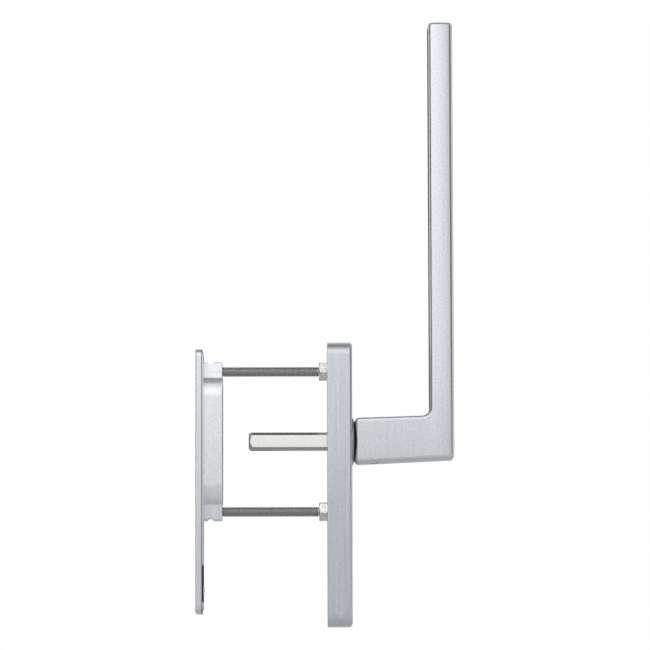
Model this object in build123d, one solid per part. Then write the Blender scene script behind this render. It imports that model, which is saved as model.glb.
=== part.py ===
"""Lift and slide door handle: a turning lever on a thick inside plate, and an outside flush pull.

Two threaded rods and a square spindle cross the door leaf between the two plates.
Millimetres. +X points into the room along the spindle, +Z is up, Y is the plates' width.
The origin is on the spindle's axis, in the face of the inside plate that lies on the door.
"""

import math
import os

from build123d import *

# Door and gear
door_gap = 70.5
rod_spacing = 80.0
spindle_side = 10.0
spindle_reach = 44.8

# Clearances
running_clearance = 0.05
sliding_clearance = 0.10
seat_clearance = 0.03
cover_clearance = 0.20

# Inside cover, a hollow shell
inner_top = 55.7
inner_bottom = -105.3
inner_width = 32.0
inner_depth = 14.0
inner_corner_radius = 7.0
inner_edge_radius = 1.6
inner_wall = 1.6
inner_skin = 1.8
pry_notch_width = 8.0
pry_notch_depth = 1.0

# Inside base, a casting that stays under the cover
base_plate = 2.4
base_rim_height = 5.6
base_rim_wall = 1.4
base_rib = 1.6
base_rib_height = 7.0
hub_radius = 12.3
hub_height = 10.4
rod_boss_radius = 6.4
rod_boss_height = 9.0
nut_seat_depth = 0.3
nut_seat_radius = 7.0
snap_nose_length = 9.0
snap_nose_height = 0.6
snap_nose_thickness = 1.2
snap_nose_place = 3.6

# Turning joint of the lever, from the door to the room
spigot_radius = 8.5
spigot_end = 0.5
circlip_groove_radius = 7.7
circlip_start = 1.2
circlip_thickness = 1.0
circlip_outer_radius = 9.9
circlip_gap = 4.0
circlip_ear_radius = 1.7
circlip_ear_hole = 0.75
thrust_washer_thickness = 0.6
thrust_washer_radius = 10.6
spring_washer_room = 0.9
spring_washer_thickness = 0.35
spring_washer_radius = 10.4
hub_counterbore_radius = 11.2
bush_wall = 1.45

# Collar ring and the black slide washer behind the lever's neck
collar_proud = 0.9
collar_flange_radius = 13.3
collar_flange = 0.9
collar_edge = 0.3
slide_washer_thickness = 0.7
slide_washer_radius = 11.7

# Lever, one forging with neck and grip
lever_width = 22.0
lever_edge_radius = 2.0
neck_top_at_plate = 12.9
neck_bottom_at_plate = -12.85
neck_top_slope = 1.8
neck_bottom_slope = 2.7
neck_end_corner_radius = 2.2
inner_elbow_radius = 4.8
outer_elbow_radius = 2.1
grip_inner_face = 58.2
grip_thickness = 13.8
grip_top = 240.5
grip_tip_rise = 0.35
grip_corner_radius = 2.1

# Square spindle and its grub screw
spindle_edge_chamfer = 1.6
spindle_tip_cone = 3.4
spindle_tip_flat_radius = 4.3
spindle_length_in_lever = 38.0
spindle_end_room = 0.5
grub_radius = 2.5
grub_length = 6.0
grub_to_spindle_end = 11.0
grub_hex = 2.5
grub_hex_depth = 2.2

# Threaded rods, lock nuts and sleeve nuts
rod_radius = 2.95
rod_neck_radius = 2.5
rod_neck_length = 0.5
rod_end_chamfer = 0.5
rod_hold_in_casting = 8.2
rod_hold_in_sleeve = 8.0
tapped_hole_radius = 3.0
nut_flats = 10.0
nut_height = 5.0
nut_chamfer = 1.0
upper_nut_turn = 8.0
lower_nut_turn = 9.0
sleeve_radius = 4.0
sleeve_start = 2.7
sleeve_head_radius = 5.2
sleeve_head_height = 1.7
sleeve_slot_width = 1.2
sleeve_slot_depth = 0.9
rod_hole_radius = 3.3

# Outside cover plate
outer_top = 51.9
outer_bottom = -97.8
outer_width = 30.0
outer_depth = 3.9
outer_corner_radius = 4.0
outer_edge_radius = 0.8
outer_rim = 2.2
outer_skin = 1.3

# Flush pull casting: flange, cup and two rod bosses
flange_proud = 0.6
cup_top = 32.8
cup_width = 23.0
cup_corner_radius = 7.3
cup_side_end = 25.3
cup_depth = 11.0
cup_wall = 1.7
cup_floor = 1.6
cup_floor_radius = 2.5
cup_mouth_edge = 0.6
cup_back_edge = 0.5
boss_face_edge = 0.35
boss_end = 45.0
boss_foot = 36.2
boss_foot_width = 12.7
boss_end_width = 11.4
boss_corner_radius = 0.9
boss_below_cup = 0.3
boss_notch_width = 3.6
boss_notch_floor = 2.3
boss_notch_depth = 1.1
boss_notch_place = 4.0
stake_radius = 1.5
stake_tip_radius = 1.2
stake_drop = 0.9
stake_depth = 0.12
stake_place = 2.3
tapped_hole_depth = 9.0
tapped_hole_countersink = 0.6

# Locating stud and dark seat pad, low on the back of the flange
stud_place = -84.3
stud_radius = 2.6
stud_proud = 0.7
stud_shank_radius = 1.5
stud_shank = 1.5
pad_length = 20.7
pad_thickness = 0.6
pad_centre = -81.2
pad_clearance = 0.1

# Places that follow from the values above
inner_height = inner_top - inner_bottom
inner_centre = (inner_top + inner_bottom) / 2
outer_height = outer_top - outer_bottom
outer_centre = (outer_top + outer_bottom) / 2
rod_heights = {"upper": rod_spacing / 2, "lower": -rod_spacing / 2}
casting_back = -door_gap
cover_back = casting_back - flange_proud
cover_front = cover_back - outer_depth
cover_inside = cover_front + outer_skin
cup_back = casting_back + cup_depth
boss_face = cup_back - boss_below_cup
circlip_end = circlip_start + circlip_thickness
thrust_washer_end = circlip_end + thrust_washer_thickness
bush_start = thrust_washer_end + spring_washer_room
bush_radius = spigot_radius + running_clearance + bush_wall
collar_top = inner_depth + collar_proud
slide_washer_end = collar_top + slide_washer_thickness
neck_start = slide_washer_end + running_clearance
grip_outer_face = grip_inner_face + grip_thickness
cover_hole_radius = hub_radius + sliding_clearance
spindle_socket_end = spindle_length_in_lever + spindle_end_room
grub_place = spindle_length_in_lever - grub_to_spindle_end
standing = (Align.CENTER, Align.CENTER, Align.MIN)
hanging = (Align.CENTER, Align.CENTER, Align.MAX)


def along_x(profile, start, length):
    """Extrudes a flat profile, drawn in Y and Z, towards the room from x = start."""
    return Pos(start, 0, 0) * extrude(Plane.YZ * profile, amount=length)


def disc(radius, start, length, height=0.0):
    """A round bar along X."""
    return along_x(Pos(0, height) * Circle(radius), start, length)


def ring(outer, inner, start, length, height=0.0):
    """A plain ring round an axis along X."""
    return along_x(Pos(0, height) * (Circle(outer) - Circle(inner)), start, length)


def plate_outline(width, height, centre, radius, inset=0.0):
    """A rounded rectangle in Y and Z, moved in all round by inset."""
    corner = max(radius - inset, 0.3)
    return Pos(0, centre) * RectangleRounded(width - 2 * inset, height - 2 * inset, corner)


def edges_in_plane(shape, x):
    """The edges that lie in the plane at x."""
    return shape.edges().filter_by_position(Axis.X, x - 0.001, x + 0.001)


def inner_outline(inset=0.0):
    """Outline of the inside cover."""
    return plate_outline(inner_width, inner_height, inner_centre, inner_corner_radius, inset)


def outer_outline(inset=0.0):
    """Outline of the outside cover."""
    return plate_outline(outer_width, outer_height, outer_centre, outer_corner_radius, inset)


def snap_noses(clearance=0.0):
    """Noses at the base's two short ends, or with a clearance their grooves in the cover."""
    reach = inner_height / 2 - inner_wall + snap_nose_height + clearance
    length = snap_nose_length + 2 * clearance
    thickness = snap_nose_thickness + 2 * clearance
    noses = Part()
    for side in (1, -1):
        nose = Box(thickness, length, 2 * snap_nose_height + base_rim_wall)
        height = inner_centre + side * (reach - snap_nose_height - base_rim_wall / 2)
        noses += Pos(snap_nose_place, 0, height) * nose
    return noses


def inner_cover():
    """Brushed shell that hides the base, with the lever's hole and a notch to lift it off."""
    block = along_x(inner_outline(), 0, inner_depth)
    block = fillet(edges_in_plane(block, inner_depth), inner_edge_radius)
    hollow = along_x(inner_outline(inner_wall), 0, inner_depth - inner_skin)
    shell = block - hollow - disc(cover_hole_radius, 0, inner_depth)
    shell -= snap_noses(cover_clearance)
    notch = Box(pry_notch_depth, pry_notch_width, inner_wall * 4)
    shell -= Pos(pry_notch_depth / 2, 0, inner_bottom) * notch
    return shell


def inner_base():
    """Casting under the cover: plate, rim, hub for the lever and two bosses for the rods."""
    inset = inner_wall + cover_clearance
    base = along_x(inner_outline(inset), 0, base_plate)
    rim = inner_outline(inset) - inner_outline(inset + base_rim_wall)
    base += along_x(rim, 0, base_rim_height)
    base += snap_noses()
    for side in (1, -1):
        rib = Box(base_rib_height, base_rib, inner_height - 2 * inset - base_rim_wall)
        rib = Pos(base_rib_height / 2, side * rod_boss_radius / 2, inner_centre) * rib
        base += rib
    for place in (inner_centre, (inner_bottom + inner_centre) / 2):
        cross = Box(base_rim_height, inner_width - 2 * inset - base_rim_wall, base_rib)
        base += Pos(base_rim_height / 2, 0, place) * cross
    base += disc(hub_radius, 0, hub_height)
    for height in rod_heights.values():
        base += disc(rod_boss_radius, 0, rod_boss_height, height)
    base -= disc(hub_counterbore_radius, 0, bush_start)
    base -= disc(bush_radius + seat_clearance, 0, hub_height)
    for height in rod_heights.values():
        base -= disc(nut_seat_radius, 0, nut_seat_depth, height)
        base -= disc(rod_hole_radius, 0, base_plate, height)
        base -= disc(sleeve_radius + sliding_clearance, base_plate, rod_boss_height, height)
    return base


def bearing_bush():
    """Plastic bush between the lever's spigot and the hub."""
    return ring(bush_radius, spigot_radius + running_clearance, bush_start, hub_height - bush_start)


def spring_washer():
    """Curved spring washer that takes up the lever's end play."""
    depth = spring_washer_room - spring_washer_thickness - 2 * running_clearance
    half = spring_washer_radius
    low = thrust_washer_end + running_clearance
    bend = ThreePointArc((low, -half), (low + depth, 0), (low, half))
    back = ThreePointArc(
        (low + spring_washer_thickness, half),
        (low + depth + spring_washer_thickness, 0),
        (low + spring_washer_thickness, -half),
    )
    band = make_face([bend, Line(bend @ 1, back @ 0), back, Line(back @ 1, bend @ 0)])
    sheet = extrude(Plane.XY * band, amount=half, both=True)
    annulus = ring(half, spigot_radius + sliding_clearance, thrust_washer_end, spring_washer_room)
    return sheet & annulus


def thrust_washer():
    """Flat steel washer that the circlip bears on."""
    inner = spigot_radius + seat_clearance
    return ring(thrust_washer_radius, inner, circlip_end, thrust_washer_thickness)


def circlip():
    """Open retaining ring in the spigot's groove, with two eared ends."""
    clip = Circle(circlip_outer_radius)
    ear_ring = circlip_groove_radius + circlip_ear_radius + sliding_clearance
    ear_angle = math.degrees(math.asin((circlip_gap / 2 + circlip_ear_radius) / ear_ring))
    for side in (1, -1):
        turn = math.radians(90 + side * ear_angle)
        clip += Pos(ear_ring * math.cos(turn), ear_ring * math.sin(turn)) * Circle(circlip_ear_radius)
    clip -= Circle(circlip_groove_radius + seat_clearance)
    clip -= Pos(0, circlip_outer_radius) * Rectangle(circlip_gap, circlip_outer_radius * 1.4)
    for side in (1, -1):
        turn = math.radians(90 + side * ear_angle)
        clip -= Pos(ear_ring * math.cos(turn), ear_ring * math.sin(turn)) * Circle(circlip_ear_hole)
    return along_x(clip, circlip_start, circlip_thickness)


def collar_ring():
    """Ring on the hub, standing a little proud of the cover's face."""
    inner = spigot_radius + sliding_clearance
    body = ring(hub_radius, inner, hub_height, collar_top - hub_height)
    flange = ring(collar_flange_radius, inner, inner_depth, collar_flange)
    collar = body + flange
    rim = edges_in_plane(collar, collar_top).filter_by(lambda e: e.radius > hub_radius)
    return chamfer(rim, collar_edge)


def slide_washer():
    """Black plastic washer in the gap between the collar and the neck."""
    inner = spigot_radius + running_clearance
    return ring(slide_washer_radius, inner, collar_top, slide_washer_thickness)


def lever_outline():
    """The lever seen from the side, in X and Z, with the neck rising to the grip."""
    top_rise = math.tan(math.radians(neck_top_slope))
    bottom_rise = math.tan(math.radians(neck_bottom_slope))
    elbow_top = neck_top_at_plate + top_rise * (grip_inner_face - neck_start)
    elbow_bottom = neck_bottom_at_plate + bottom_rise * (grip_outer_face - neck_start)
    middle = (grip_inner_face + grip_outer_face) / 2
    tip = ThreePointArc(
        (grip_outer_face, grip_top - grip_tip_rise),
        (middle, grip_top),
        (grip_inner_face, grip_top - grip_tip_rise),
    )
    sides = Polyline(
        tip @ 1,
        (grip_inner_face, elbow_top),
        (neck_start, neck_top_at_plate),
        (neck_start, neck_bottom_at_plate),
        (grip_outer_face, elbow_bottom),
        tip @ 0,
    )
    face = make_face([tip, *sides.edges()])
    radii = [
        ((grip_inner_face, elbow_top), inner_elbow_radius),
        ((grip_outer_face, elbow_bottom), outer_elbow_radius),
        ((neck_start, neck_top_at_plate), neck_end_corner_radius),
        ((neck_start, neck_bottom_at_plate), neck_end_corner_radius),
        ((grip_inner_face, grip_top - grip_tip_rise), grip_corner_radius),
        ((grip_outer_face, grip_top - grip_tip_rise), grip_corner_radius),
    ]
    for (x, z), radius in radii:
        corner = face.vertices().sort_by_distance((x, z, 0))[0]
        face = fillet(corner, radius)
    return face


def spindle_profile(clearance=0.0):
    """Square section of the spindle with its chamfered edges, even all round with a clearance."""
    side = spindle_side + 2 * clearance
    corner = spindle_edge_chamfer + clearance * (2 - math.sqrt(2))
    return chamfer(Rectangle(side, side).vertices(), corner)


def lever():
    """Neck and grip in one piece, with the spigot, the spindle's socket and the grub screw's hole."""
    face = Plane.XZ * lever_outline()
    body = extrude(face, amount=lever_width / 2, both=True)
    rims = [edge for edge in body.edges() if abs(abs(edge.center().Y) - lever_width / 2) < 0.001]
    body = fillet(rims, lever_edge_radius)
    body += disc(spigot_radius, spigot_end, neck_start + inner_elbow_radius - spigot_end)
    groove = ring(
        spigot_radius + 1,
        circlip_groove_radius,
        circlip_start - running_clearance,
        circlip_thickness + 2 * running_clearance,
    )
    body -= groove
    body -= along_x(spindle_profile(running_clearance), spigot_end, spindle_socket_end - spigot_end)
    hole = Cylinder(grub_radius + seat_clearance, -neck_bottom_at_plate, align=hanging)
    body -= Pos(grub_place, 0, 0) * hole
    return body


def square_spindle():
    """Solid square bar with a coned free end."""
    length = spindle_reach + spindle_length_in_lever
    bar = along_x(spindle_profile(), -spindle_reach, length)
    corner = spindle_side * math.sqrt(0.5)
    cone = Cone(spindle_tip_flat_radius, corner, spindle_tip_cone, align=standing)
    rest = Cylinder(corner, length - spindle_tip_cone, align=standing)
    tool = Rot(0, 90, 0) * (cone + Pos(0, 0, spindle_tip_cone) * rest)
    return bar & Pos(-spindle_reach, 0, 0) * tool


def spindle_grub_screw():
    """Socket grub screw that bears on the spindle's lower face."""
    top = -spindle_side / 2 - seat_clearance
    screw = Cylinder(grub_radius, grub_length, align=hanging)
    socket = extrude(RegularPolygon(grub_hex / 2, 6, major_radius=False), amount=grub_hex_depth)
    screw -= Pos(0, 0, -grub_length) * socket
    return Pos(grub_place, 0, top) * screw


def rod_profile(start, end, neck_places):
    """Half section of a rod from start to end, necked where it leaves a thread."""
    points = [(start, 0), (start, rod_radius - rod_end_chamfer), (start + rod_end_chamfer, rod_radius)]
    drop = rod_radius - rod_neck_radius
    for place in neck_places:
        points += [
            (place, rod_radius),
            (place + drop, rod_neck_radius),
            (place + drop + rod_neck_length, rod_neck_radius),
            (place + 2 * drop + rod_neck_length, rod_radius),
        ]
    points += [(end - rod_end_chamfer, rod_radius), (end, rod_radius - rod_end_chamfer), (end, 0)]
    return make_face(Polyline(*points, close=True).edges())


def threaded_rod(name):
    """Rod that ties the casting to the inside base, modelled at its crest radius."""
    start = boss_face - rod_hold_in_casting
    neck_length = rod_neck_length + 2 * (rod_radius - rod_neck_radius)
    necks = (boss_face, nut_seat_depth - nut_height - neck_length)
    rod = revolve(Plane.XZ * rod_profile(start, rod_hold_in_sleeve, necks), Axis.X)
    return Pos(0, 0, rod_heights[name]) * rod


def lock_nut(name, turn):
    """Hexagon nut, chamfered on both sides, that stops the rod against the base."""
    hexagon = RegularPolygon(nut_flats / 2, 6, major_radius=False)
    start = nut_seat_depth - nut_height
    nut = along_x(Rot(0, 0, turn) * hexagon, start, nut_height)
    corner = nut_flats / math.sqrt(3)
    rise = nut_chamfer * math.tan(math.radians(30))
    profile = Polyline(
        (start, 0),
        (start, corner - nut_chamfer),
        (start + rise, corner),
        (start + nut_height - rise, corner),
        (start + nut_height, corner - nut_chamfer),
        (start + nut_height, 0),
        close=True,
    )
    nut &= revolve(Plane.XZ * make_face(profile.edges()), Axis.X)
    nut -= disc(tapped_hole_radius, start, nut_height)
    return Pos(0, 0, rod_heights[name]) * nut


def sleeve_nut(name):
    """Slotted sleeve nut that draws the base onto the door, hidden under the cover."""
    height = rod_heights[name]
    nut = disc(sleeve_radius, sleeve_start, rod_boss_height - sleeve_start, height)
    head = disc(sleeve_head_radius, rod_boss_height, sleeve_head_height, height)
    nut += head
    nut -= disc(tapped_hole_radius, sleeve_start, rod_boss_height + sleeve_head_height, height)
    slot = Box(sleeve_slot_depth, 3 * sleeve_head_radius, sleeve_slot_width)
    top = rod_boss_height + sleeve_head_height
    nut -= Pos(top - sleeve_slot_depth / 2, 0, height) * slot
    return nut


def cup_outline(inset=0.0):
    """Outline of the cup's mouth in Y and Z."""
    return plate_outline(cup_width, 2 * cup_top, 0, cup_corner_radius, inset)


def cup_shoulders():
    """Outline of the cup behind the flange, whose ends swing in to the feet of the bosses."""
    side = cup_width / 2
    foot = boss_foot_width / 2
    quarter = Line((side, 0), (side, cup_side_end))
    quarter += TangentArc((side, cup_side_end), (foot, boss_foot), tangent=(0, 1))
    quarter += Line((foot, boss_foot), (0, boss_foot))
    half = quarter + mirror(quarter, Plane.YZ)
    return make_face((half + mirror(half, Plane.XZ)).edges())


def outer_cover():
    """Thin tray over the casting's flange, with the mouth of the pull cut out."""
    block = along_x(outer_outline(), cover_front, outer_depth)
    block = fillet(edges_in_plane(block, cover_front), outer_edge_radius)
    block -= along_x(outer_outline(outer_rim), cover_inside, outer_depth)
    block -= along_x(cup_outline(-cover_clearance), cover_front, outer_depth)
    return block


def rod_boss(side):
    """Tapered block round a rod's tapped hole, with a notch in its end."""
    foot = boss_foot_width / 2
    end = boss_end_width / 2
    block = Polyline(
        (-foot, side * cup_side_end),
        (-foot, side * boss_foot),
        (-end, side * boss_end),
        (end, side * boss_end),
        (foot, side * boss_foot),
        (foot, side * cup_side_end),
        close=True,
    )
    block = make_face(block.edges())
    block = fillet(block.vertices().group_by(Axis.Y)[-1 if side > 0 else 0], boss_corner_radius)
    boss = along_x(block, casting_back, boss_face - casting_back)
    notch_start = casting_back + boss_notch_place - boss_notch_width / 2
    slope = (boss_notch_width - boss_notch_floor) / 2
    floor = side * (boss_end - boss_notch_depth)
    notch = Polyline(
        (notch_start, side * boss_end),
        (notch_start + slope, floor),
        (notch_start + slope + boss_notch_floor, floor),
        (notch_start + boss_notch_width, side * boss_end),
        close=True,
    )
    boss -= extrude(Plane.XZ * make_face(notch.edges()), amount=boss_foot_width, both=True)
    return boss


def stake_mark():
    """Shallow round punch mark on the near side of the upper boss."""
    height = rod_heights["upper"] - stake_drop
    taper = (boss_foot_width - boss_end_width) / 2 / (boss_end - boss_foot)
    face = boss_foot_width / 2 - taper * (height - boss_foot)
    mark = Cone(stake_tip_radius, stake_radius, stake_depth, align=hanging)
    turn = Rot(90 + math.degrees(math.atan(taper)), 0, 0)
    return Pos(boss_face - stake_place, -face, height) * turn * mark


def flush_pull_casting():
    """One casting: flange, cup for the fingertips and the two tapped bosses."""
    flange_inset = outer_rim + cover_clearance
    casting = along_x(outer_outline(flange_inset), cover_inside, casting_back - cover_inside)
    casting += along_x(cup_outline(), cover_front, casting_back - cover_front)
    casting += along_x(cup_shoulders(), casting_back, cup_depth)
    casting = chamfer(edges_in_plane(casting, cup_back), cup_back_edge)
    for side in (1, -1):
        casting += chamfer(edges_in_plane(rod_boss(side), boss_face), boss_face_edge)
    recess = along_x(cup_outline(cup_wall), cover_front, cup_back - cup_floor - cover_front)
    recess = fillet(edges_in_plane(recess, cup_back - cup_floor), cup_floor_radius)
    casting -= recess
    mouth = casting.faces().sort_by(Axis.X)[0].inner_wires()[0].edges()
    casting = chamfer(mouth, cup_mouth_edge)
    pad_seat = Pos(0, pad_centre) * Rectangle(outer_width, pad_length)
    casting -= along_x(pad_seat, casting_back - pad_thickness, pad_thickness)
    stud_hole = stud_shank_radius + seat_clearance
    casting -= disc(stud_hole, cover_inside, casting_back - cover_inside, stud_place)
    for height in rod_heights.values():
        casting -= disc(tapped_hole_radius, boss_face - tapped_hole_depth, tapped_hole_depth, height)
        sink = Cone(
            tapped_hole_radius,
            tapped_hole_radius + tapped_hole_countersink,
            tapped_hole_countersink,
            align=hanging,
        )
        casting -= Pos(boss_face, 0, height) * Rot(0, 90, 0) * sink
    casting -= stake_mark()
    return casting


def locating_stud():
    """Domed stud pressed into the flange, which keys the lower end to the door."""
    base = casting_back - pad_thickness
    dome_radius = (stud_radius**2 + stud_proud**2) / (2 * stud_proud)
    dome_height = math.sqrt(dome_radius**2 - (stud_radius / 2) ** 2) - (dome_radius - stud_proud)
    lower = Polyline(
        (casting_back + stud_proud, 0),
        (base - stud_shank, 0),
        (base - stud_shank, stud_shank_radius),
        (base, stud_shank_radius),
        (base, stud_radius),
        (casting_back, stud_radius),
    )
    dome = ThreePointArc(
        lower @ 1,
        (casting_back + dome_height, stud_radius / 2),
        lower @ 0,
    )
    stud = revolve(Plane.XZ * make_face([*lower.edges(), dome]), Axis.X)
    return Pos(0, 0, stud_place) * stud


def seat_pad():
    """Dark strip round the stud that takes up unevenness of the door."""
    flange_inset = outer_rim + cover_clearance
    strip = Pos(0, pad_centre) * Rectangle(
        outer_width - 2 * flange_inset,
        pad_length - 2 * pad_clearance,
    )
    hole = Pos(0, stud_place) * Circle(stud_radius + pad_clearance)
    return along_x(strip - hole, casting_back - pad_thickness, pad_thickness)


def build():
    """Every node's name with its solid."""
    return {
        "inner_cover": inner_cover(),
        "inner_base": inner_base(),
        "bearing_bush": bearing_bush(),
        "spring_washer": spring_washer(),
        "thrust_washer": thrust_washer(),
        "circlip": circlip(),
        "collar_ring": collar_ring(),
        "slide_washer": slide_washer(),
        "lever": lever(),
        "square_spindle": square_spindle(),
        "spindle_grub_screw": spindle_grub_screw(),
        "upper_threaded_rod": threaded_rod("upper"),
        "lower_threaded_rod": threaded_rod("lower"),
        "upper_lock_nut": lock_nut("upper", upper_nut_turn),
        "lower_lock_nut": lock_nut("lower", lower_nut_turn),
        "upper_sleeve_nut": sleeve_nut("upper"),
        "lower_sleeve_nut": sleeve_nut("lower"),
        "outer_cover": outer_cover(),
        "flush_pull_casting": flush_pull_casting(),
        "locating_stud": locating_stud(),
        "seat_pad": seat_pad(),
    }


os.makedirs("parts", exist_ok=True)
for node, solid in build().items():
    export_step(solid, f"parts/{node}.step")
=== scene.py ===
import math

import bmesh
import bpy
from mathutils import Matrix, Vector


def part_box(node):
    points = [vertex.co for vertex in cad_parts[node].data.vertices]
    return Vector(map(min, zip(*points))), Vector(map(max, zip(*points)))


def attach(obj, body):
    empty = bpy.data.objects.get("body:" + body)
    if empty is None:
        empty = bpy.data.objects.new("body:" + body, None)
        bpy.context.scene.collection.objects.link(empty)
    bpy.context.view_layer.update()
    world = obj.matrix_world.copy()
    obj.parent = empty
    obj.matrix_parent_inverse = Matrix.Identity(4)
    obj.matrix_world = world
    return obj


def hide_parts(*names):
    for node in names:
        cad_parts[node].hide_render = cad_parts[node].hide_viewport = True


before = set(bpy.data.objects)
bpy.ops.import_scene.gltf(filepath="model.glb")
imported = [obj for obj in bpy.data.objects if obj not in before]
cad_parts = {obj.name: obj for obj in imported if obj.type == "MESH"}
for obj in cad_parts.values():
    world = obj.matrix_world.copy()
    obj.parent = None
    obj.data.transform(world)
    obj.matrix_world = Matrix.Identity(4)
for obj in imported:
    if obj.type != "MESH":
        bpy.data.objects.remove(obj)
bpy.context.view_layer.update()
scene = bpy.context.scene
mm = 0.001

# Sizes that the looks share with the CAD model
rod_heights = {"upper": 40 * mm, "lower": -40 * mm}
rod_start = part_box("upper_threaded_rod")[0][0]
rod_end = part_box("upper_threaded_rod")[1][0]
grip_left = 58.2 * mm
grip_right = 72.0 * mm
# Where the painted shadow line on the outer cover's edge next to the door starts
cover_shadow_line_start = -71.9 * mm

# Rod with a rolled thread that runs from its neck at the casting to its neck at the lock nut
rod_root = 2.45 * mm
rod_crest = 2.93 * mm
rod_end_cone = 0.6 * mm
core_steps = 32
thread_start = -59.3 * mm
thread_end = -4.9 * mm
thread_pitch = 1.0 * mm
thread_base = 0.86 * mm
thread_land = 0.14 * mm
thread_sink = 0.05 * mm
thread_steps = 28
weld_distance = 0.001 * mm
sharp_from = 40

# Brush lines and etched speckle. The real ones are under 0.2 mm wide and wouldn't show
line_width = 0.6 * mm
line_length = 45 * mm
speckle_width = 1.1 * mm
brushed_relief = 0.02 * mm

# Fall of light across the grip, which starts a little left of it
crown_lead = 2 * mm
crown_rise = 0.5 * mm

# Painted shade on two pieces: a painted shadow line on the sheet's edge next to the door, and painted
# shade on the drawn bar's bevels
shadow_line_grey = "#A8ACB2"
shadow_line_fade = 0.3 * mm
bevel_shade_grey = "#BEBEBC"
shaded_below = 0.93
unshaded_above = 0.98

# How far roughness strays with the grain, and where between 0 and 1 most of a noise lies
roughness_swing = 0.06
metal_spread = (0.35, 0.65)
polymer_spread = (0.3, 0.7)

# Numbers of the Mix node's sockets for colours, which share their names with those for values
mix_first, mix_second, mix_result = 6, 7, 2

# Studio
white = (1, 1, 1, 1)
diffuse_world = 0.5
floor_level = -0.30
floor_reach = 6.0
floor_grain = 4 * mm
floor_relief = 0.1 * mm
floor_lift = 0.42

# Camera of the photograph
photo_width = 650
camera_place = Vector((-0.0200, -2.5000, -0.2047))
camera_target = Vector((-0.0012, 0.0, 0.0669))
camera_roll = -0.14
camera_reach = 50
focal_pixels = 4400
sensor_width = 36.0


def linear(hex_colour):
    """A colour written as sRGB hex, turned to the linear values that Blender's sockets take."""
    parts = [int(hex_colour[i : i + 2], 16) / 255 for i in (1, 3, 5)]
    return (*[p / 12.92 if p <= 0.04045 else ((p + 0.055) / 1.055) ** 2.4 for p in parts], 1.0)


def add(tree, kind, links=(), **settings):
    """Adds a node. Settings are properties or, with a name that a socket has, that socket's value."""
    node = tree.nodes.new(kind)
    for name, value in settings.items():
        if hasattr(node, name):
            setattr(node, name, value)
        else:
            node.inputs[name.replace("_", " ")].default_value = value
    for source, socket in links:
        tree.links.new(source, node.inputs[socket])
    return node


def blank_material(name):
    """A material with an empty node tree."""
    material = bpy.data.materials.new(name)
    material.use_nodes = True
    material.node_tree.nodes.clear()
    return material, material.node_tree


def finish_material(tree, shader, bump):
    """Ties the bump to the shader and the shader to the output."""
    tree.links.new(bump.outputs["Normal"], shader.inputs["Normal"])
    add(tree, "ShaderNodeOutputMaterial", [(shader.outputs["BSDF"], "Surface")])


def calculate(tree, operation, *values):
    """Works out a number from one or two others."""
    links = [(value, socket) for socket, value in enumerate(values)]
    return add(tree, "ShaderNodeMath", links, operation=operation).outputs[0]


def colour_range(tree, factor, low, high, start=0.0, end=1.0):
    """Spreads a value from 0 to 1 between two colours."""
    ramp = add(tree, "ShaderNodeValToRGB", [(factor, "Fac")])
    ramp.color_ramp.elements[0].position = start
    ramp.color_ramp.elements[0].color = linear(low)
    ramp.color_ramp.elements[1].position = end
    ramp.color_ramp.elements[1].color = linear(high)
    return ramp.outputs["Color"]


def value_range(tree, factor, low, high):
    """Spreads a value from 0 to 1 between two numbers."""
    spread = add(tree, "ShaderNodeMapRange", [(factor, "Value")], To_Min=low, To_Max=high)
    return spread.outputs[0]


def spread_along_x(tree, place, start, end, low, high):
    """Runs from low to high between two X positions and stays level beyond them."""
    axes = add(tree, "ShaderNodeSeparateXYZ", [(place, "Vector")])
    spread = add(
        tree,
        "ShaderNodeMapRange",
        [(axes.outputs["X"], "Value")],
        From_Min=start,
        From_Max=end,
        To_Min=low,
        To_Max=high,
    )
    return spread.outputs[0]


def mix_colours(tree, factor, first, second):
    """Mixes two colours, each written as hex or taken from a socket."""
    mixed = add(tree, "ShaderNodeMix", data_type="RGBA")
    tree.links.new(factor, mixed.inputs["Factor"])
    for colour, socket in ((first, mix_first), (second, mix_second)):
        if isinstance(colour, str):
            mixed.inputs[socket].default_value = linear(colour)
        else:
            tree.links.new(colour, mixed.inputs[socket])
    return mixed.outputs[mix_result]


def crowned_normal(tree, place, left, right, rise):
    """Shades a flat face as if it were slightly crowned between two X positions."""
    across = spread_along_x(tree, place, left, right, -1.0, 1.0)
    square = calculate(tree, "MULTIPLY", across, across)
    bump = add(tree, "ShaderNodeBump", [(square, "Height")], Strength=1.0, Distance=rise)
    bump.invert = True
    return bump.outputs["Normal"]


def painted_shadow_line(tree, place, colour, start):
    """Paints a shadow line: greys the sheet's edge next to the door, from one X position on."""
    beyond = spread_along_x(tree, place, start, start + shadow_line_fade, 0.0, 1.0)
    return mix_colours(tree, beyond, colour, shadow_line_grey)


def painted_bevel_shade(tree, facing, colour):
    """Paints shade on all but the four long faces of a square bar along X: painted shade on its
    bevels and ends, by which way each face turns.
    """
    axes = add(tree, "ShaderNodeSeparateXYZ", [(facing, "Vector")])
    wide = calculate(tree, "ABSOLUTE", axes.outputs["Y"])
    tall = calculate(tree, "ABSOLUTE", axes.outputs["Z"])
    squarely = calculate(tree, "MAXIMUM", wide, tall)
    on_face = add(
        tree,
        "ShaderNodeMapRange",
        [(squarely, "Value")],
        From_Min=shaded_below,
        From_Max=unshaded_above,
    )
    return mix_colours(tree, on_face.outputs[0], bevel_shade_grey, colour)


def metal_surface(tree, colour, pattern, roughness, strength, depth, crowned=None):
    """Metal whose roughness and fine relief follow the pattern that its colour has."""
    rough = value_range(tree, pattern, roughness - roughness_swing, roughness + roughness_swing)
    bump = add(tree, "ShaderNodeBump", [(pattern, "Height")], Strength=strength, Distance=depth)
    if crowned is not None:
        tree.links.new(crowned, bump.inputs["Normal"])
    links = [(colour, "Base Color"), (rough, "Roughness")]
    finish_material(tree, add(tree, "ShaderNodeBsdfPrincipled", links, Metallic=1.0), bump)


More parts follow.
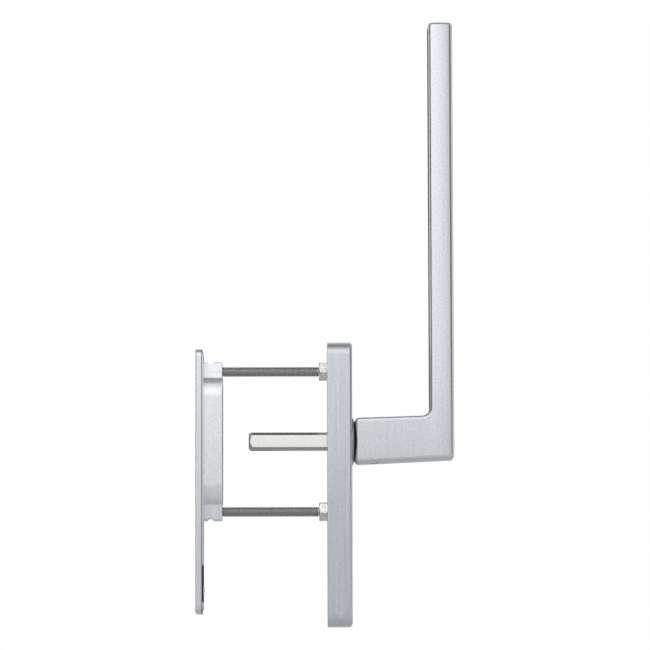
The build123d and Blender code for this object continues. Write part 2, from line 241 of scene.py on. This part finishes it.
def brushed_aluminium(
    name, low, high, roughness, along, speckle_share=0.4, crown=None, shadow_line_from=None
):
    """Satin anodised aluminium. Fine brush lines run along the piece under an even matt speckle.

    A crown lets light fall off across a flat face, by its shading alone. From a given X position on,
    the sheet is painted greyer: a painted shadow line along its edge next to the door.
    """
    material, tree = blank_material(name)
    place = add(tree, "ShaderNodeTexCoord").outputs["Object"]
    scale = [1 / line_width] * 3
    scale["XYZ".index(along)] = 1 / line_length
    lines_at = add(tree, "ShaderNodeMapping", [(place, "Vector")], Scale=scale).outputs[0]
    lines = add(tree, "ShaderNodeTexNoise", [(lines_at, "Vector")], Scale=1.0, Detail=3.0)
    speckle = add(
        tree, "ShaderNodeTexNoise", [(place, "Vector")], Scale=1 / speckle_width, Detail=2.0
    )
    links = [(lines.outputs["Fac"], "A"), (speckle.outputs["Fac"], "B")]
    pattern = add(tree, "ShaderNodeMix", links, Factor=speckle_share).outputs["Result"]
    colour = colour_range(tree, pattern, low, high, *metal_spread)
    # Painted shadow line along the sheet's edge next to the door
    if shadow_line_from is not None:
        colour = painted_shadow_line(tree, place, colour, shadow_line_from)
    crowned = None if crown is None else crowned_normal(tree, place, *crown)
    metal_surface(tree, colour, pattern, roughness, 0.2, brushed_relief, crowned)
    return material


def grained_metal(name, low, high, roughness, grain, depth, shade_bevels=False):
    """Metal with a fine even grain, as casting and tumbling or zinc plating leave it.

    A drawn bar's bevels and cone get painted shade, darker than its long faces.
    """
    material, tree = blank_material(name)
    coordinates = add(tree, "ShaderNodeTexCoord")
    place = coordinates.outputs["Object"]
    speckle = add(tree, "ShaderNodeTexNoise", [(place, "Vector")], Scale=1 / grain, Detail=3.0)
    pattern = speckle.outputs["Fac"]
    colour = colour_range(tree, pattern, low, high, *metal_spread)
    # Painted shade on the bevels and cone, by which way each face turns
    if shade_bevels:
        colour = painted_bevel_shade(tree, coordinates.outputs["Normal"], colour)
    metal_surface(tree, colour, pattern, roughness, 0.25, depth)
    return material


def dark_polymer(name, low, high, smooth, rough, grain, depth, ior):
    """Moulded plastic or foam rubber: a dark colour, a fine grain and a dull to faint sheen."""
    material, tree = blank_material(name)
    place = add(tree, "ShaderNodeTexCoord").outputs["Object"]
    spots = add(tree, "ShaderNodeTexNoise", [(place, "Vector")], Scale=1 / grain, Detail=3.0)
    pattern = spots.outputs["Fac"]
    colour = colour_range(tree, pattern, low, high, *polymer_spread)
    gloss = value_range(tree, pattern, smooth, rough)
    bump = add(tree, "ShaderNodeBump", [(pattern, "Height")], Strength=0.3, Distance=depth)
    links = [(colour, "Base Color"), (gloss, "Roughness")]
    finish_material(tree, add(tree, "ShaderNodeBsdfPrincipled", links, IOR=ior), bump)
    return material


def mesh_object(name, bm, material):
    """Turns a bmesh into an object of one material, at the origin."""
    bmesh.ops.recalc_face_normals(bm, faces=bm.faces)
    mesh = bpy.data.meshes.new(name)
    bm.to_mesh(mesh)
    bm.free()
    mesh.materials.append(material)
    made = bpy.data.objects.new(name, mesh)
    scene.collection.objects.link(made)
    return made


def threaded_rod(name, height, material):
    """Round core at the thread's root, with one helical ridge between its two necks."""
    bm = bmesh.new()
    outline = [
        (rod_start, 0.0),
        (rod_start, rod_root - rod_end_cone / 2),
        (rod_start + rod_end_cone / 2, rod_root),
        (rod_end - rod_end_cone / 2, rod_root),
        (rod_end, rod_root - rod_end_cone / 2),
        (rod_end, 0.0),
    ]
    points = [bm.verts.new((x, 0.0, z)) for x, z in outline]
    edges = [bm.edges.new(pair) for pair in zip(points, points[1:])]
    bmesh.ops.spin(
        bm,
        geom=points + edges,
        cent=(0, 0, 0),
        axis=(1, 0, 0),
        angle=math.tau,
        steps=core_steps,
        use_merge=True,
    )
    bmesh.ops.remove_doubles(bm, verts=bm.verts, dist=weld_distance)
    core = set(bm.verts[:] + bm.edges[:] + bm.faces[:])

    sunk = rod_root - thread_sink
    section = [
        (thread_start - thread_base / 2, sunk),
        (thread_start - thread_land / 2, rod_crest),
        (thread_start + thread_land / 2, rod_crest),
        (thread_start + thread_base / 2, sunk),
    ]
    corners = [bm.verts.new((x, 0.0, z)) for x, z in section]
    profile = [bm.edges.new(pair) for pair in zip(corners, corners[1:] + corners[:1])]
    bmesh.ops.spin(
        bm,
        geom=corners + profile,
        cent=(0, 0, 0),
        axis=(1, 0, 0),
        dvec=(thread_pitch / thread_steps, 0, 0),
        angle=math.tau,
        steps=thread_steps,
    )
    one_turn = [part for part in bm.verts[:] + bm.edges[:] + bm.faces[:] if part not in core]
    for turn in range(1, int((thread_end - thread_start) / thread_pitch)):
        copied = bmesh.ops.duplicate(bm, geom=one_turn)["geom"]
        verts = [part for part in copied if isinstance(part, bmesh.types.BMVert)]
        bmesh.ops.translate(bm, verts=verts, vec=(turn * thread_pitch, 0, 0))
    bmesh.ops.remove_doubles(bm, verts=bm.verts, dist=weld_distance)

    # Both ends of the ridge are open, each with the section's corners round it
    open_edges = [edge for edge in bm.edges if edge.is_boundary]
    bmesh.ops.holes_fill(bm, edges=open_edges, sides=len(section))
    bmesh.ops.translate(bm, verts=bm.verts, vec=(0, 0, height))
    made = mesh_object(name, bm, material)
    for face in made.data.polygons:
        face.use_smooth = True
    made.data.set_sharp_from_angle(angle=math.radians(sharp_from))
    return made


def seen_as_background(tree):
    """One where the camera, a reflection or a clear part shows the background, else nought."""
    path = add(tree, "ShaderNodeLightPath")
    seen = calculate(
        tree, "MAXIMUM", path.outputs["Is Camera Ray"], path.outputs["Is Glossy Ray"]
    )
    return calculate(tree, "MAXIMUM", seen, path.outputs["Is Transmission Ray"])


def white_world():
    """White all round, and half as strong as a source of diffuse light."""
    world = bpy.data.worlds.new("studio")
    scene.world = world
    world.use_nodes = True
    tree = world.node_tree
    tree.nodes.clear()
    bright = add(tree, "ShaderNodeBackground", Color=white, Strength=1.0)
    soft = add(tree, "ShaderNodeBackground", Color=white, Strength=diffuse_world)
    links = [(seen_as_background(tree), 0), (soft.outputs[0], 1), (bright.outputs[0], 2)]
    mixed = add(tree, "ShaderNodeMixShader", links)
    add(tree, "ShaderNodeOutputWorld", [(mixed.outputs[0], "Surface")])


def floor():
    """Pale matt floor under the hanging set, lifted towards white where it is the background."""
    material, tree = blank_material("matt_white_floor")
    place = add(tree, "ShaderNodeTexCoord").outputs["Object"]
    grain = add(tree, "ShaderNodeTexNoise", [(place, "Vector")], Scale=1 / floor_grain, Detail=3.0)
    pattern = grain.outputs["Fac"]
    colour = colour_range(tree, pattern, "#F3F3F3", "#F7F7F7")
    bump = add(tree, "ShaderNodeBump", [(pattern, "Height")], Strength=0.1, Distance=floor_relief)
    links = [(colour, "Base Color"), (bump.outputs["Normal"], "Normal")]
    matt = add(tree, "ShaderNodeBsdfPrincipled", links, Roughness=0.9)
    lift = value_range(tree, seen_as_background(tree), 0.0, floor_lift)
    glow = add(tree, "ShaderNodeEmission", [(lift, "Strength")], Color=white)
    both = add(tree, "ShaderNodeAddShader", [(matt.outputs[0], 0), (glow.outputs[0], 1)])
    add(tree, "ShaderNodeOutputMaterial", [(both.outputs[0], "Surface")])
    bm = bmesh.new()
    bmesh.ops.create_grid(bm, x_segments=1, y_segments=1, size=floor_reach)
    bmesh.ops.translate(bm, verts=bm.verts, vec=(0, 0, floor_level))
    mesh_object("floor", bm, material)


def card(name, place, size, grey):
    """A plain studio card for metal to reflect. It faces the origin, and the camera misses it."""
    material, tree = blank_material(f"{name}_card")
    glow = add(tree, "ShaderNodeEmission", Color=(grey, grey, grey, 1), Strength=1.0)
    add(tree, "ShaderNodeOutputMaterial", [(glow.outputs[0], "Surface")])
    bm = bmesh.new()
    bmesh.ops.create_grid(bm, x_segments=1, y_segments=1, size=0.5)
    bmesh.ops.scale(bm, verts=bm.verts, vec=(*size, 1))
    turn = (-Vector(place)).to_track_quat("Z", "Y").to_matrix()
    bmesh.ops.rotate(bm, verts=bm.verts, cent=(0, 0, 0), matrix=turn)
    bmesh.ops.translate(bm, verts=bm.verts, vec=place)
    made = mesh_object(f"{name}_card", bm, material)
    made.visible_camera = False
    made.visible_shadow = False
    made.visible_diffuse = False


def lamp(name, place, size, watts):
    """A soft oblong light that faces the middle of the set."""
    light = bpy.data.lights.new(name, "AREA")
    light.shape = "RECTANGLE"
    light.size, light.size_y = size
    light.energy = watts
    made = bpy.data.objects.new(name, light)
    made.location = place
    aim = camera_target - Vector(place)
    made.rotation_euler = aim.to_track_quat("-Z", "Y").to_euler()
    scene.collection.objects.link(made)


def camera():
    """The photograph's view, from the side and a little below."""
    eye = bpy.data.objects.new("camera", bpy.data.cameras.new("camera"))
    eye.data.sensor_width = sensor_width
    eye.data.lens = focal_pixels / photo_width * sensor_width
    eye.data.clip_end = camera_reach
    aim = (camera_target - camera_place).to_track_quat("-Z", "Y").to_matrix()
    aim = aim @ Matrix.Rotation(math.radians(camera_roll), 3, "Z")
    eye.matrix_world = Matrix.Translation(camera_place) @ aim.to_4x4()
    scene.collection.objects.link(eye)
    scene.camera = eye


# Satin anodised aluminium: a cool pale silver with upright brush lines on the outer cover
silver_upright = brushed_aluminium(
    "anodised_aluminium_upright",
    "#DFE3E8",
    "#F3F5F8",
    roughness=0.38,
    along="Z",
    # Painted shadow line along the cover's edge next to the door
    shadow_line_from=cover_shadow_line_start,
)
# The lever is etched more evenly: mostly speckle, with a soft fall of light across its grip
silver_lever = brushed_aluminium(
    "anodised_aluminium_lever",
    "#D4D8DD",
    "#EAECF0",
    roughness=0.3,
    along="Z",
    speckle_share=0.8,
    crown=(grip_left - crown_lead, grip_right, crown_rise),
)
# The same finish on turned work: a duller ring, painted greyer as painted shade between the inner
# cover and the lever
shaded_silver_round = brushed_aluminium(
    "anodised_aluminium_round_painted_shade", "#A2A6AB", "#B6B9BE", roughness=0.42, along="Y"
)
# Pressed and brushed sheet: a shade greyer than the lever, and the lines show most here
silver_cover = brushed_aluminium(
    "anodised_aluminium_sheet", "#CED2D8", "#E4E7EB", roughness=0.38, along="Z"
)
# Die cast zinc alloy, tumbled: the palest satin metal, with a fine sandy grain and no lines
cast_silver = grained_metal(
    "tumbled_cast_alloy", "#E5EAF0", "#FBFDFF", roughness=0.38, grain=0.8 * mm, depth=0.04 * mm
)
# Bright zinc plating: neutral white metal that shines more than the satin parts
zinc_plate = grained_metal(
    "bright_zinc_plate", "#F0F0EE", "#FFFFFD", roughness=0.22, grain=1.0 * mm, depth=0.02 * mm
)
# The same plating on drawn bar: bright long faces between bevels in painted shade
drawn_zinc = grained_metal(
    "bright_zinc_drawn_bar_painted_bevel_shade",
    "#F6F6F4",
    "#FFFFFE",
    roughness=0.2,
    grain=1.0 * mm,
    depth=0.02 * mm,
    shade_bevels=True,
)
# The same plating on cut nuts: flecked light and grey where tools have marked it
zinc_nut = grained_metal(
    "bright_zinc_nut", "#C8C8C6", "#FFFFFD", roughness=0.24, grain=1.0 * mm, depth=0.08 * mm
)
# Steel with a rolled thread: mid grey, darkened as painted shade of the thread's grooves, even, with
# a low shine along the ridges
rod_steel = grained_metal(
    "rolled_steel_painted_groove_shade", "#ABABAC", "#C8C8C9", roughness=0.38, grain=0.6 * mm, depth=0.01 * mm
)
# Oil blackened spring steel: near black with a metal sheen
blackened = grained_metal(
    "oil_blackened_steel", "#2E2E30", "#454548", roughness=0.42, grain=0.5 * mm, depth=0.02 * mm
)
# Moulded acetal: black and slightly waxy
acetal = dark_polymer(
    "black_acetal",
    "#121213",
    "#1C1C1E",
    smooth=0.42,
    rough=0.58,
    grain=0.4 * mm,
    depth=0.02 * mm,
    ior=1.48,
)
# Closed cell foam rubber on the seat pad: charcoal, which paints the shade in the pocket round the
# stud, dead matt, with cells that are drawn wide enough to show
shaded_foam_rubber = dark_polymer(
    "closed_cell_foam_rubber_painted_shade",
    "#19191A",
    "#303032",
    smooth=0.85,
    rough=0.98,
    grain=0.7 * mm,
    depth=0.15 * mm,
    ior=1.5,
)

finishes = {
    "inner_cover": silver_cover,
    "outer_cover": silver_upright,
    "lever": silver_lever,
    "collar_ring": shaded_silver_round,
    "inner_base": cast_silver,
    "flush_pull_casting": cast_silver,
    "locating_stud": cast_silver,
    "square_spindle": drawn_zinc,
    "upper_lock_nut": zinc_nut,
    "lower_lock_nut": zinc_nut,
    "upper_sleeve_nut": zinc_plate,
    "lower_sleeve_nut": zinc_plate,
    "upper_threaded_rod": rod_steel,
    "lower_threaded_rod": rod_steel,
    "thrust_washer": zinc_plate,
    "spring_washer": blackened,
    "circlip": blackened,
    "spindle_grub_screw": blackened,
    "bearing_bush": acetal,
    "slide_washer": acetal,
    "seat_pad": shaded_foam_rubber,
}
for node, finish in finishes.items():
    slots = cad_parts[node].data.materials
    slots.clear()
    slots.append(finish)

for side, height in rod_heights.items():
    rod = threaded_rod(f"{side}_rod_with_thread", height, rod_steel)
    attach(rod, "door_set")
    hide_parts(f"{side}_threaded_rod")

# Lights and cards: place and size in metres, then watts for the lamp and a grey for each card
white_world()
floor()
lamp("front_left", (-0.25, -0.9, 0.55), (0.9, 0.6), 0.6)
card("left", (-1.04, -0.49, 0.1), (1.02, 2.6), 0.05)
card("right", (0.92, -0.69, 0.1), (1.60, 2.6), 0.22)
card("overhead", (0.0, 0.1, 1.6), (2.6, 1.6), 0.25)
card("low_front", (0.0, -0.24, -0.14), (2.4, 0.38), 0.58)
card("under", (0.0, 0.0, -0.295), (1.6, 1.6), 0.46)
card("behind", (0.0, 1.3, 0.15), (3.2, 1.6), 0.25)
card("behind_left", (-0.42, 1.1, 0.15), (0.85, 1.6), 0.05)
camera()
scene.view_settings.view_transform = "Standard"
